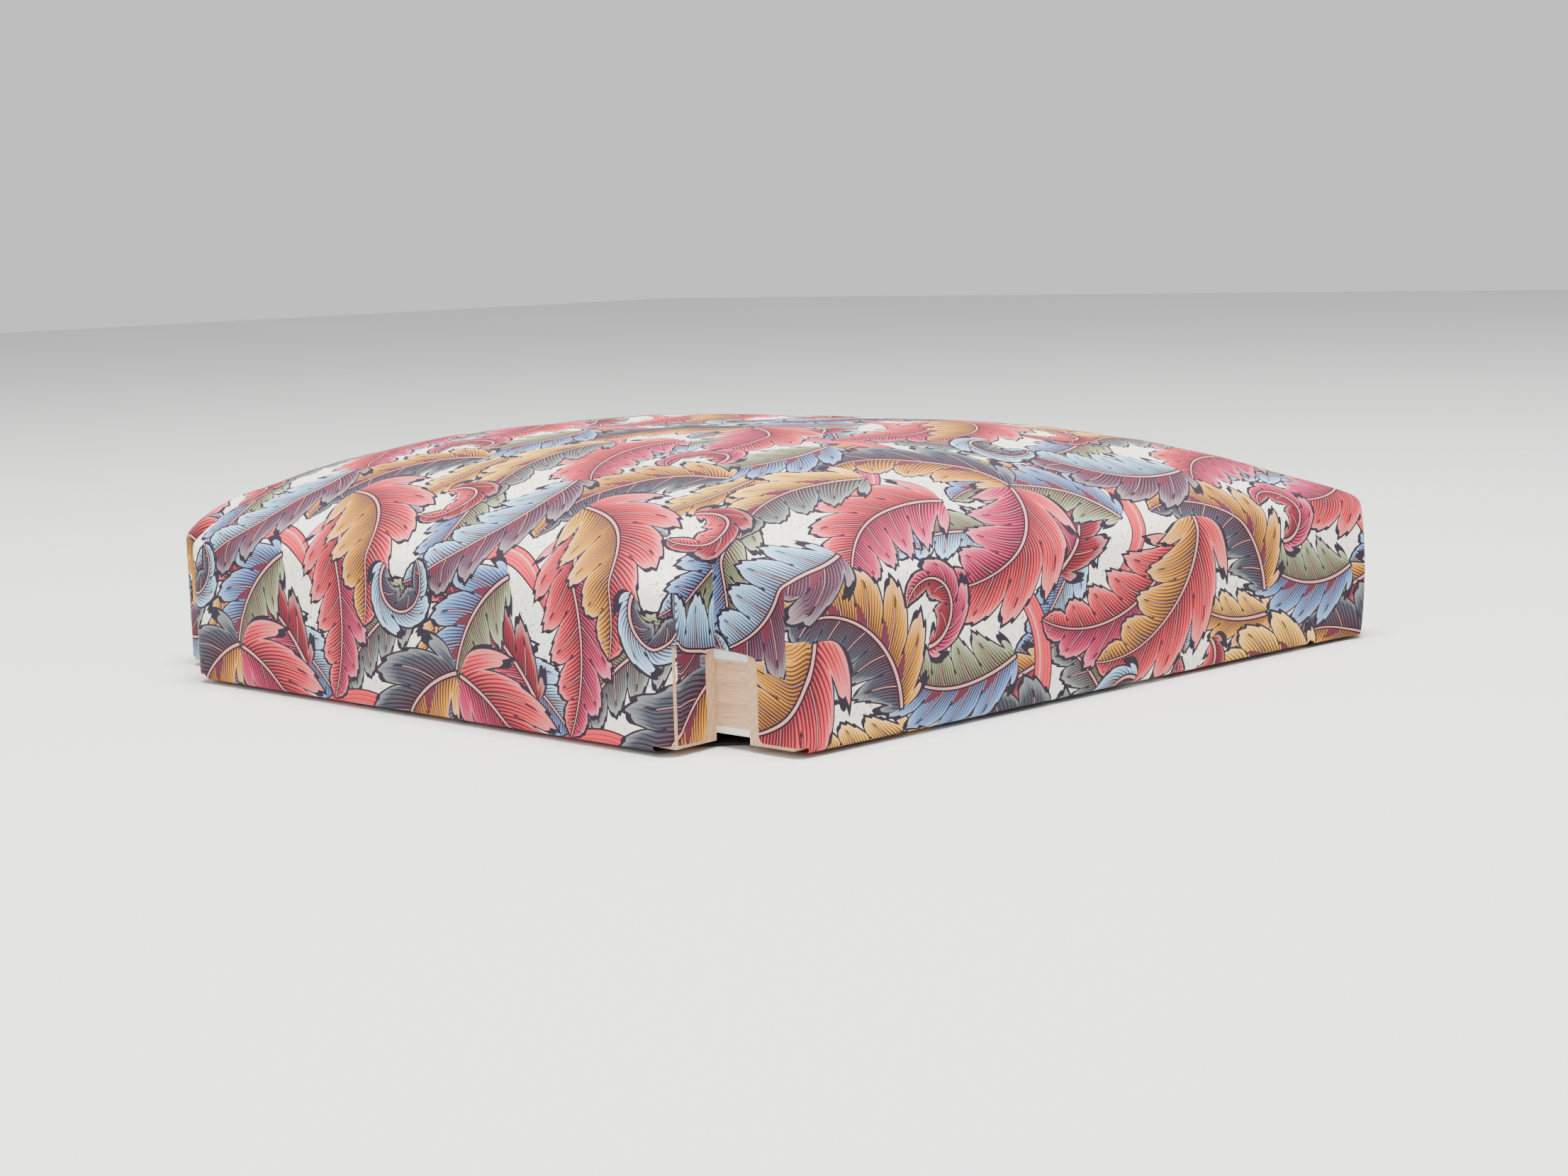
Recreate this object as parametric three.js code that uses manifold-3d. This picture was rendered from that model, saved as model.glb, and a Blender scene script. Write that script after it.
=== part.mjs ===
// A stuff-over chair seat: a beech seat frame that carries webbing, hessian, two stuffings and a
// printed cotton cover. The back corners are cut away for the chair's back legs, and each front
// corner has a socket, open below, for the top block of a front leg.
// Millimetres. +X is the sitter's left, the front of the seat faces -Y, +Z is up, and z = 0 is the
// plane that the seat lies on.
import * as THREE from 'three';
import { mergeVertices } from 'three/addons/utils/BufferGeometryUtils.js';
import Module from 'manifold-3d';

const wasm = await Module();
wasm.setup();

// ---- driving dimensions ----
const GAP = 0.3; // left between neighbours that touch
const DEPTH = 424;
const FRONT_WIDTH = 492;
const BACK_WIDTH = 419; // of the straight sides, carried on to the back edge
const FRONT_Y = -DEPTH / 2;
const BACK_Y = DEPTH / 2;

const RIM_HEIGHT = 68; // of the cover where the side wall meets the domed top
const SHOULDER_RISE = 11.5;
const SHOULDER_RUN = 58;
const CROWN = 35.5;
const CROWN_POWER_X = 4.5;
const CROWN_POWER_Y = 3;

const LEG_WIDTH = 44.5; // back leg, along X
const LEG_DEPTH = 37;
const BACK_LEG_PROUD = 7.5; // how far a back leg stands behind the cover
const NOTCH_X = BACK_WIDTH / 2 - LEG_WIDTH;
const NOTCH_Y = BACK_Y + BACK_LEG_PROUD - LEG_DEPTH;
const SOCKET_X = 195; // inner face of a front socket
const SOCKET_Y = -164.5; // back face of a front socket

const DUST_COVER = 1.4;
const COVER = 1.2;
const HEM_WIDTH = 24;
const WADDING_SIDE = 2;
const WADDING_TOP = 3;
const CALICO = 0.6;
const HAIR_SIDE = 6;
const HAIR_TOP = 8;
const SCRIM = 0.8;

const RAIL_THICK = 24;
const RAIL_HEIGHT = 42;
const BLOCK_HEIGHT = 28;
const BLOCK_LEG = 52; // how far a corner block runs along each rail, past the leg

const WEB_WIDTH = 50;
const WEB_THICK = 1.2;
const WEB_RISE = 0.8; // of a strap over or under the middle of the weave
const LENGTHWAYS_X = [-135, -45, 45, 135];
const CROSSWAYS_Y = [-110, 0, 110];
const HESSIAN = 0.8;

// ---- heights and insets that follow from them ----
const HEM_Z = DUST_COVER + GAP;
const RAIL_Z = HEM_Z + COVER + GAP;
const RAIL_TOP = RAIL_Z + RAIL_HEIGHT;
const WEB_Z = RAIL_TOP + GAP;
const HESSIAN_Z = WEB_Z + WEB_THICK + 2 * WEB_RISE + GAP;
const STUFFING_Z = HESSIAN_Z + HESSIAN + GAP;
const CALICO_Z = RAIL_Z + 26;
const WADDING_Z = RAIL_Z + 3;

const layer = (side, top) => ({ side, top });
const COVER_OUT = layer(0, 0);
const COVER_IN = layer(COVER, COVER);
const WADDING_OUT = layer(COVER_IN.side + GAP, COVER_IN.top + GAP);
const WADDING_IN = layer(WADDING_OUT.side + WADDING_SIDE, WADDING_OUT.top + WADDING_TOP);
const CALICO_OUT = layer(WADDING_IN.side + GAP, WADDING_IN.top + GAP);
const CALICO_IN = layer(CALICO_OUT.side + CALICO, CALICO_OUT.top + CALICO);
const HAIR_OUT = layer(CALICO_IN.side + GAP, CALICO_IN.top + GAP);
const HAIR_IN = layer(HAIR_OUT.side + HAIR_SIDE, HAIR_OUT.top + HAIR_TOP);
const SCRIM_OUT = layer(HAIR_IN.side + GAP, HAIR_IN.top + GAP);
const SCRIM_IN = layer(SCRIM_OUT.side + SCRIM, SCRIM_OUT.top + SCRIM);
const FIBRE_OUT = layer(SCRIM_IN.side + GAP, SCRIM_IN.top + GAP);
const RAIL_INSET = CALICO_IN.side + GAP;

// ---- materials ----
const finish = (color, roughness, metalness = 0) =>
  new THREE.MeshStandardMaterial({ color, roughness, metalness });
const MATERIALS = {
  print: finish(0xc99a92, 0.9),
  wadding: finish(0xf2efe6, 0.95),
  calico: finish(0xe6dcc3, 0.9),
  hair: finish(0x3b2f27, 0.95),
  hessian: finish(0xa98a5c, 0.95),
  fibre: finish(0x8a6a42, 0.95),
  webbing: finish(0xcbb894, 0.9),
  dust: finish(0x1c1b1d, 0.9),
  beech: finish(0xc49a67, 0.65),
  steel: finish(0x8f9296, 0.4, 1),
  blued: finish(0x2b2f3a, 0.45, 1),
};

const seat = new THREE.Group();

function addPart(name, geometry, material) {
  const mesh = new THREE.Mesh(geometry, MATERIALS[material]);
  mesh.name = name;
  seat.add(mesh);
  return mesh;
}

// ---- solids: three.js geometry in and out of manifold-3d, which only joins and cuts ----
function toSolid(geometry) {
  const bare = geometry.clone();
  bare.deleteAttribute('normal');
  bare.deleteAttribute('uv');
  const merged = mergeVertices(bare, 1e-4);
  return new wasm.Manifold(new wasm.Mesh({
    numProp: 3,
    vertProperties: new Float32Array(merged.attributes.position.array),
    triVerts: new Uint32Array(merged.index.array),
  }));
}

function toGeometry(solid) {
  const mesh = solid.getMesh();
  const geometry = new THREE.BufferGeometry();
  geometry.setAttribute('position', new THREE.BufferAttribute(mesh.vertProperties, 3));
  geometry.setIndex(new THREE.BufferAttribute(mesh.triVerts, 1));
  geometry.computeVertexNormals();
  return geometry;
}

const cut = (solid, tools) => tools.reduce((rest, tool) => rest.subtract(tool), solid);

// A block between two corners.
function blockBetween(low, high) {
  const size = high.map((value, axis) => value - low[axis]);
  const geometry = new THREE.BoxGeometry(...size);
  geometry.translate(...low.map((value, axis) => value + size[axis] / 2));
  return geometry;
}

// An upright prism over a plan outline.
function prism(points, bottom, top) {
  const outline = new THREE.Shape(points.map(([x, y]) => new THREE.Vector2(x, y)));
  const geometry = new THREE.ExtrudeGeometry(outline, { depth: top - bottom, bevelEnabled: false });
  geometry.translate(0, 0, bottom);
  return geometry;
}

const mirrored = (points) => points.map(([x, y]) => [-x, y]).reverse();
const onSide = (side, points) => (side > 0 ? points : mirrored(points));

// ---- the shape of the seat ----
// Half the seat's width at a distance from front to back.
function halfWidth(y) {
  return THREE.MathUtils.mapLinear(y, FRONT_Y, BACK_Y, FRONT_WIDTH / 2, BACK_WIDTH / 2);
}

// How far the rounded shoulder falls below the dome, at a distance in from the edge.
function shoulderFall(distance) {
  const out = 1 - Math.min(distance / SHOULDER_RUN, 1);
  return SHOULDER_RISE * (1 - Math.sqrt(1 - out * out));
}

// Height of the top, at fractions u and v of the half width and half depth.
function topHeight(u, v) {
  const y = v * BACK_Y;
  const dome = CROWN * (1 - Math.abs(u) ** CROWN_POWER_X) * (1 - Math.abs(v) ** CROWN_POWER_Y);
  const fromSide = halfWidth(y) * (1 - Math.abs(u));
  const fromEnd = BACK_Y * (1 - Math.abs(v));
  const fall = Math.max(shoulderFall(fromSide), shoulderFall(fromEnd));
  return RIM_HEIGHT + SHOULDER_RISE + dome - fall;
}

// The seat's own form, shrunk by a layer's insets and cut off flat at the bottom: a box whose
// rows crowd towards the edges, drawn out to the plan and up to the dome.
function seatForm({ side, top }, bottom) {
  const geometry = new THREE.BoxGeometry(2, 2, 2, 14, 12, 1);
  const place = geometry.attributes.position;
  const crowd = (t) => Math.sin(t * Math.PI / 2);
  for (let i = 0; i < place.count; i += 1) {
    const u = crowd(place.getX(i));
    const v = crowd(place.getY(i));
    const y = v * (BACK_Y - side);
    const x = u * (halfWidth(y) - side);
    place.setXYZ(i, x, y, place.getZ(i) < 0 ? bottom : topHeight(u, v) - top);
  }
  return toSolid(geometry);
}

// ---- the spaces that the legs stand in ----
const CLEAR = 300; // past every face of the seat
const backLegSpaces = [-1, 1].map((side) => toSolid(prism(
  onSide(side, [[NOTCH_X, NOTCH_Y], [CLEAR, NOTCH_Y], [CLEAR, CLEAR], [NOTCH_X, CLEAR]]),
  -CLEAR,
  CLEAR,
)));
const frontLegSpaces = [-1, 1].map((side) => toSolid(prism(
  onSide(side, [[SOCKET_X, -CLEAR], [CLEAR, -CLEAR], [CLEAR, SOCKET_Y], [SOCKET_X, SOCKET_Y]]),
  -CLEAR,
  RAIL_TOP,
)));

// ---- tacks and screws ----
// A turned piece: [radius, height] pairs from the axis, round and back to the axis.
const turned = (profile, sides) =>
  new THREE.LatheGeometry(profile.map(([r, h]) => new THREE.Vector2(r, h)), sides)
    .rotateX(Math.PI / 2);

const TACK_HEAD = 3.2;
const TACK_HEAD_DEEP = 0.8;
const TACK_SHANK = 0.8;
const TACK_LONG = 11;
const tackProfile = (spare) => [
  [0, -spare], [TACK_HEAD + spare, -spare], [TACK_HEAD + spare, TACK_HEAD_DEEP + spare],
  [TACK_SHANK + spare, TACK_HEAD_DEEP + spare], [TACK_SHANK + spare, TACK_LONG - 2],
  [0, TACK_LONG + spare],
];
const TACKS_PER_SIDE = 4;
const TACK_INSET = 16;

// Where the tacks go: evenly along each edge of the dust cover, under the middle of a rail.
function tackPlaces() {
  const places = [];
  for (let i = 0; i < TACKS_PER_SIDE; i += 1) {
    const along = i / (TACKS_PER_SIDE - 1) - 0.5;
    places.push([`front_${i + 1}`, along * 280, FRONT_Y + TACK_INSET + 5]);
    places.push([`back_${i + 1}`, along * 270, BACK_Y - TACK_INSET - 5]);
    const y = along * 240 + 8;
    places.push([`left_${i + 1}`, halfWidth(y) - TACK_INSET - 5, y]);
    places.push([`right_${i + 1}`, TACK_INSET + 5 - halfWidth(y), y]);
  }
  return places;
}
const TACKS = tackPlaces();
const tackSpaces = TACKS.map(([, x, y]) => toSolid(turned(tackProfile(GAP), 8).translate(x, y, 0)));

const SCREW_HEAD = 4;
const SCREW_SHANK = 1.9;
const SCREW_LONG = 27;
const screwProfile = (spare) => [
  [0, -spare], [SCREW_HEAD + spare, -spare], [SCREW_SHANK + spare, 2.6 + spare],
  [SCREW_SHANK + spare, SCREW_LONG - 4], [0, SCREW_LONG + spare],
];
// A screw's shape, moved to its head's centre and turned to run along a level direction.
function screwAt({ x, y, z, towards }, spare) {
  const geometry = turned(screwProfile(spare), 12);
  const turn = new THREE.Quaternion().setFromUnitVectors(
    new THREE.Vector3(0, 0, 1),
    new THREE.Vector3(towards[0], towards[1], 0).normalize(),
  );
  return geometry.applyQuaternion(turn).translate(x, y, z);
}

// ---- seat frame ----
const railFace = (y) => halfWidth(y) - RAIL_INSET; // outer face of a side rail
const railBack = (y) => railFace(y) - RAIL_THICK; // its inner face
const FRONT_RAIL_IN = FRONT_Y + RAIL_INSET + RAIL_THICK;
const BACK_RAIL_IN = BACK_Y - RAIL_INSET - RAIL_THICK;

const RAILS = {
  front_rail: blockBetween(
    [-SOCKET_X, FRONT_Y + RAIL_INSET, RAIL_Z], [SOCKET_X, FRONT_RAIL_IN, RAIL_TOP]),
  back_rail: blockBetween(
    [-NOTCH_X, BACK_RAIL_IN, RAIL_Z], [NOTCH_X, BACK_Y - RAIL_INSET, RAIL_TOP]),
};
for (const [name, side] of [['left_side_rail', 1], ['right_side_rail', -1]]) {
  RAILS[name] = prism(onSide(side, [
    [railBack(SOCKET_Y), SOCKET_Y], [railFace(SOCKET_Y), SOCKET_Y],
    [railFace(NOTCH_Y), NOTCH_Y], [railBack(NOTCH_Y), NOTCH_Y],
  ]), RAIL_Z, RAIL_TOP);
}

// A corner block: it lies against both rails and is cut square round the leg's inner corner.
// Its screws run square to its long face, one into each rail.
function cornerBlock(end, side) {
  const front = end === 'front';
  const inward = front ? 1 : -1; // along Y, away from the leg
  const railY = (front ? FRONT_RAIL_IN : BACK_RAIL_IN) + inward * GAP;
  const legX = (front ? SOCKET_X : NOTCH_X) - GAP;
  const legY = (front ? SOCKET_Y : NOTCH_Y) + inward * GAP;
  const farY = legY + inward * BLOCK_LEG;
  const nearX = legX - BLOCK_LEG;
  const outline = [
    [nearX, railY], [legX, railY], [legX, legY], [railBack(legY) - GAP, legY],
    [railBack(farY) - GAP, farY],
  ];
  return {
    points: onSide(side, front ? outline : [...outline].reverse()),
    longFace: [[nearX * side, railY], [(railBack(farY) - GAP) * side, farY]],
    outward: [side, -inward],
  };
}

const BLOCK_Z = RAIL_Z + 6;
const SCREW_SINK = 4; // of a head below the block's long face
function cornerScrews({ longFace, outward }) {
  const [[x0, y0], [x1, y1]] = longFace;
  const square = new THREE.Vector2(outward[0] * Math.abs(y1 - y0), outward[1] * Math.abs(x1 - x0))
    .normalize();
  return [0.25, 0.75].map((share, i) => {
    const aim = i === 0 ? [square.x * 0.45, square.y] : [square.x, square.y * 0.45];
    return {
      x: x0 + (x1 - x0) * share + square.x * SCREW_SINK,
      y: y0 + (y1 - y0) * share + square.y * SCREW_SINK,
      z: BLOCK_Z + BLOCK_HEIGHT / 2 + (i === 0 ? 4 : -4),
      towards: aim,
    };
  });
}

// The way that a driver takes to a sunk screw head, through the block.
function driverHole(screw) {
  const hole = new THREE.CylinderGeometry(SCREW_HEAD + 0.6, SCREW_HEAD + 0.6, 24, 12)
    .rotateX(Math.PI / 2).translate(0, 0, -12 + 0.1);
  const turn = new THREE.Quaternion().setFromUnitVectors(
    new THREE.Vector3(0, 0, 1),
    new THREE.Vector3(screw.towards[0], screw.towards[1], 0).normalize(),
  );
  return hole.applyQuaternion(turn).translate(screw.x, screw.y, screw.z);
}

const blocks = [];
for (const end of ['front', 'back']) {
  for (const [hand, side] of [['left', 1], ['right', -1]]) {
    const block = cornerBlock(end, side);
    blocks.push({ name: `${end}_${hand}_corner`, ...block, screws: cornerScrews(block) });
  }
}
const screwSpaces = blocks.flatMap(({ screws }) => screws.map((s) => toSolid(screwAt(s, GAP))));

for (const [name, geometry] of Object.entries(RAILS)) {
  const holes = [...screwSpaces, ...tackSpaces];
  addPart(name, toGeometry(cut(toSolid(geometry), holes)), 'beech');
}
for (const { name, points, screws } of blocks) {
  const body = toSolid(prism(points, BLOCK_Z, BLOCK_Z + BLOCK_HEIGHT));
  const holes = screws.flatMap((s) => [toSolid(screwAt(s, GAP)), toSolid(driverHole(s))]);
  addPart(`${name}_block`, toGeometry(cut(body, holes)), 'beech');
  screws.forEach((s, i) => addPart(`${name}_screw_${i + 1}`, screwAt(s, 0), 'steel'));
}

// ---- webbing: straps woven over and under each other ----
// Height of a strap's underside: level over each crossing, with a smooth step between them.
function strapPath(ends, crossings, rises) {
  const flat = WEB_WIDTH / 2 + 3;
  const middle = WEB_Z + WEB_RISE;
  const points = [[ends[0], WEB_Z], [ends[0] + RAIL_THICK, WEB_Z]];
  crossings.forEach((at, i) => {
    const z = middle + rises[i] * WEB_RISE;
    points.push([at - flat, z], [at + flat, z]);
  });
  points.push([ends[1] - RAIL_THICK, WEB_Z], [ends[1], WEB_Z]);
  return points;
}

// A strap: its path drawn as a ribbon of even thickness, drawn out to the strap's width.
function strap(path) {
  const over = path.map(([s, z]) => [s, z + WEB_THICK]).reverse();
  const outline = new THREE.Shape([...path, ...over].map(([s, z]) => new THREE.Vector2(s, z)));
  return new THREE.ExtrudeGeometry(outline, { depth: WEB_WIDTH, bevelEnabled: false })
    .translate(0, 0, -WEB_WIDTH / 2).rotateX(Math.PI / 2);
}

const STRAP_INSET = RAIL_INSET + 4;
const weave = (i, j) => ((i + j) % 2 === 0 ? 1 : -1);
LENGTHWAYS_X.forEach((x, i) => {
  const rises = CROSSWAYS_Y.map((_, j) => weave(i, j));
  const path = strapPath([FRONT_Y + STRAP_INSET, BACK_Y - STRAP_INSET], CROSSWAYS_Y, rises);
  addPart(`webbing_lengthways_${i + 1}`, strap(path).rotateZ(Math.PI / 2).translate(x, 0, 0), 'webbing');
});
CROSSWAYS_Y.forEach((y, j) => {
  const rises = LENGTHWAYS_X.map((_, i) => -weave(i, j));
  const end = halfWidth(y + WEB_WIDTH / 2) - STRAP_INSET;
  const path = strapPath([-end, end], LENGTHWAYS_X, rises);
  addPart(`webbing_crossways_${j + 1}`, strap(path).translate(0, y, 0), 'webbing');
});

// ---- the soft layers, from the webbing up ----
const hessianEdge = (y) => halfWidth(y) - RAIL_INSET - 3;
const hessianFront = FRONT_Y + RAIL_INSET + 3;
const hessian = toSolid(prism([
  [-hessianEdge(hessianFront), hessianFront], [hessianEdge(hessianFront), hessianFront],
  [hessianEdge(-hessianFront), -hessianFront], [-hessianEdge(-hessianFront), -hessianFront],
], HESSIAN_Z, HESSIAN_Z + HESSIAN));
addPart('hessian_base', toGeometry(cut(hessian, backLegSpaces)), 'hessian');

const fibre = cut(seatForm(FIBRE_OUT, STUFFING_Z), backLegSpaces);
addPart('first_stuffing', toGeometry(fibre), 'fibre');

// A layer of even thickness that follows the seat's form, open below.
function shell(outer, inner, bottom) {
  return cut(seatForm(outer, bottom), [seatForm(inner, bottom - 1), ...backLegSpaces]);
}
addPart('stuffing_scrim', toGeometry(shell(SCRIM_OUT, SCRIM_IN, STUFFING_Z)), 'hessian');
addPart('second_stuffing', toGeometry(shell(HAIR_OUT, HAIR_IN, STUFFING_Z)), 'hair');
const calico = shell(CALICO_OUT, CALICO_IN, CALICO_Z);
addPart('calico_undercover', toGeometry(cut(calico, frontLegSpaces)), 'calico');
const wadding = shell(WADDING_OUT, WADDING_IN, WADDING_Z);
addPart('wadding', toGeometry(cut(wadding, frontLegSpaces)), 'wadding');

// ---- top cover: over the top, down the rails and turned in underneath as a hem ----
// The plan of the seat, drawn in from its edge.
const planInset = (inset) => [
  [-(halfWidth(FRONT_Y + inset) - inset), FRONT_Y + inset],
  [halfWidth(FRONT_Y + inset) - inset, FRONT_Y + inset],
  [halfWidth(BACK_Y - inset) - inset, BACK_Y - inset],
  [-(halfWidth(BACK_Y - inset) - inset), BACK_Y - inset],
];
const insideHem = toSolid(prism(planInset(HEM_WIDTH), 0, RAIL_Z));
const socketMouths = [-1, 1].map((side) => toSolid(prism(onSide(side, [
  [SOCKET_X, FRONT_Y + COVER], [halfWidth(SOCKET_Y) - COVER, FRONT_Y + COVER],
  [halfWidth(SOCKET_Y) - COVER, SOCKET_Y], [SOCKET_X, SOCKET_Y],
]), 0, RAIL_Z)));
const cover = cut(seatForm(COVER_OUT, HEM_Z), [
  seatForm(COVER_IN, HEM_Z + COVER), insideHem, ...socketMouths, ...backLegSpaces, ...tackSpaces,
]);
addPart('top_cover', toGeometry(cover), 'print');

// ---- dust cover and its tacks ----
const DUST_INSET = 12;
const dustEdge = (y) => halfWidth(y) - DUST_INSET;
const [DUST_BACK_X, DUST_BACK_Y] = [146, 146]; // where its back corners are cut off
const [DUST_FRONT_X, DUST_FRONT_Y] = [150, -130]; // and its front corners
const dustHalf = [
  [DUST_FRONT_X, FRONT_Y + DUST_INSET], [dustEdge(DUST_FRONT_Y), DUST_FRONT_Y],
  [dustEdge(DUST_BACK_Y), DUST_BACK_Y], [DUST_BACK_X, BACK_Y - DUST_INSET],
];
const dust = toSolid(prism([...dustHalf, ...mirrored(dustHalf)], 0, DUST_COVER));
addPart('dust_cover', toGeometry(cut(dust, tackSpaces)), 'dust');
for (const [place, x, y] of TACKS) {
  addPart(`dust_cover_tack_${place}`, turned(tackProfile(0), 8).translate(x, y, 0), 'blued');
}

export default seat;
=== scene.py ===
"""A stuff-over chair seat: a printed cotton cover over a padded seat frame, cut away for the legs.

Lengths are in metres, apart from the print, which is drawn in millimetres. +X is the sitter's
left, the front of the seat faces -Y and +Z is up.
"""
import math

import bpy
import numpy as np
from mathutils import Matrix, Vector


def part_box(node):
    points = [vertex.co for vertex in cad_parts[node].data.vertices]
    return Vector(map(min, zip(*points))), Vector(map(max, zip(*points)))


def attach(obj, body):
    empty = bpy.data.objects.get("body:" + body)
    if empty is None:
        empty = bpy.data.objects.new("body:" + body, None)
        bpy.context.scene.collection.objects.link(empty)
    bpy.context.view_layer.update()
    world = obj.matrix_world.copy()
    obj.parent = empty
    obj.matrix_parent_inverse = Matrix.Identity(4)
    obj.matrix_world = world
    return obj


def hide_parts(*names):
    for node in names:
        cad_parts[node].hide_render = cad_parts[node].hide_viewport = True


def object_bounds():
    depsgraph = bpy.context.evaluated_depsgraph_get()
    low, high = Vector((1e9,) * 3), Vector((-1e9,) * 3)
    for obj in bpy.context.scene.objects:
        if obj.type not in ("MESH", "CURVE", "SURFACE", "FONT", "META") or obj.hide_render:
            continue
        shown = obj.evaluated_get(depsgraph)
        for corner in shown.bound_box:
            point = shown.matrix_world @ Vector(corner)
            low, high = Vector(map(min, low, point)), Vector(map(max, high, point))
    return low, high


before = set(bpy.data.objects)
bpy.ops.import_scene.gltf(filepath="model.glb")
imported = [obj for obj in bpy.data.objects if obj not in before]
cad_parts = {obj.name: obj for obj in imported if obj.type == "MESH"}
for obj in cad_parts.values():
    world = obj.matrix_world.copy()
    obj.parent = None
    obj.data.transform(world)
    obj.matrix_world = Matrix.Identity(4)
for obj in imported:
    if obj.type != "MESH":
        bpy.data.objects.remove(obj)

CAD_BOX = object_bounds()

# ---- sizes, from the frame where it has them ----
FRONT_Y, BACK_Y = CAD_BOX[0].y, CAD_BOX[1].y
FRONT_HALF = CAD_BOX[1].x
BACK_HALF = 0.2095  # of the straight sides, carried on to the back edge
CLOTH = 0.0006  # thickness of the printed cotton, which lies over the rails' ends in a leg notch
NOTCH_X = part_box("back_rail")[1].x + CLOTH
NOTCH_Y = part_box("left_side_rail")[1].y + CLOTH
SOCKET_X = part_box("front_rail")[1].x
SOCKET_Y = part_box("left_side_rail")[0].y
COVER_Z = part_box("top_cover")[0].z

RIM_HEIGHT = 0.068  # where the side walls meet the domed top
SHOULDER_RISE = 0.0115
SHOULDER_RUN = 0.058
NOTCH_RISE = 0.007  # how far the top rolls down into a leg notch
NOTCH_RUN = 0.016
CROWN = 0.0355
CROWN_POWER_X = 4.5
CROWN_POWER_Y = 3.0
FRONT_ROUND = 0.010  # radius of a front corner
REAR_ROUND = 0.0075  # radius of the rear wall's ends, beside the back legs
SIDE_ROUND = 0.005  # radius of a side wall's back end
WALL_BULGE = 0.0016
BULGE_POWER = 0.8  # under 1 is fuller near a wall's top and foot
UNEVEN = 0.0006  # height of the slight rises and hollows in the padding
EVEN_NEAR = 0.03  # they fade out towards the rim within this, and the bulge towards a notch
FRONT_EASE, SIDE_EASE, REAR_EASE = 0.05, 0.02, 0.022  # over which those roundings fade out

FOLD_RADIUS = 0.003  # of the bottom edge
SOCKET_FOLD = 0.0012  # the tighter fold of the edge over a front leg
HEM = 0.024  # turned in under the rails
SOCKET_HEM = 0.018  # turned up inside a front socket
TUCK = 0.040  # how deep the top is tucked down beside a back leg
FLANGE = 0.015  # of a wall, folded in along a back leg

INNER_COLUMNS, OUTER_COLUMNS = 33, 14
FRONT_ROWS, BACK_ROWS = 78, 11
WALL_ROWS, FOLD_ROWS, HEM_ROWS = 14, 3, 4
CROWDING = 0.62


# ---- the form of the seat ----
def half_width(y):
    return FRONT_HALF + (BACK_HALF - FRONT_HALF) * (y - FRONT_Y) / (BACK_Y - FRONT_Y)


def smooth(t):
    t = np.clip(t, 0, 1)
    return t * t * (3 - 2 * t)


def fade(distance, over):
    return np.clip(1 - distance / over, 0, 1) ** 2


def roll(distance, run, rise):
    """How far a rounded edge falls, at a distance in from it."""
    out = 1 - np.clip(distance / run, 0, 1)
    return rise * (1 - np.sqrt(1 - out * out))


def soft_least(a, b):
    """The smaller of two distances, rounded off where they are alike."""
    a, b = np.maximum(a, 1e-6), np.maximum(b, 1e-6)
    return (a**-3 + b**-3) ** (-1 / 3)


def rounded_least(a, b, radius):
    """The distance to a corner of this radius, from the distances to its two edges."""
    inside = radius - np.hypot(radius - np.minimum(a, radius), radius - np.minimum(b, radius))
    return np.where((a < radius) & (b < radius), inside, np.minimum(a, b))


def unevenness(x, y):
    """Slight rises and hollows in the padding, some 60 mm apart."""
    return UNEVEN * np.sin(61 * x + 2 * np.sin(37 * y)) * np.sin(53 * y + 2 * np.sin(41 * x))


def top_height(x, y):
    side, front, back = half_width(y) - abs(x), y - FRONT_Y, BACK_Y - y
    u, v = abs(x) / half_width(y), abs(y) / BACK_Y
    dome = CROWN * (1 - np.clip(u, 0, 1) ** CROWN_POWER_X) * (1 - np.clip(v, 0, 1) ** CROWN_POWER_Y)
    near = rounded_least(side, front, FRONT_ROUND)
    share = smooth(near / (2 * FRONT_ROUND))
    edge = soft_least(near + (soft_least(side, front) - near) * share, back)
    notch = np.hypot(np.maximum(NOTCH_X - abs(x), 0), np.maximum(NOTCH_Y - y, 0))
    fall = roll(edge, SHOULDER_RUN, SHOULDER_RISE) + roll(notch, NOTCH_RUN, NOTCH_RISE)
    rises = unevenness(x, y) * smooth(edge / EVEN_NEAR)
    return RIM_HEIGHT + SHOULDER_RISE + dome - fall + rises


def crowd(count, both_ends):
    """Fractions from 0 to 1 that lie closer together towards the end, or towards both ends."""
    t = np.linspace(0, 1, count + 1)
    eased = (1 - np.cos(np.pi * t)) / 2 if both_ends else np.sin(np.pi * t / 2)
    return t + (eased - t) * CROWDING


def rounding(gap, radius):
    """How far a corner's arc stands off one edge, at a gap from the other edge."""
    reach = radius - np.clip(gap, 0, radius)
    return radius - np.sqrt(radius**2 - reach**2)


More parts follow.
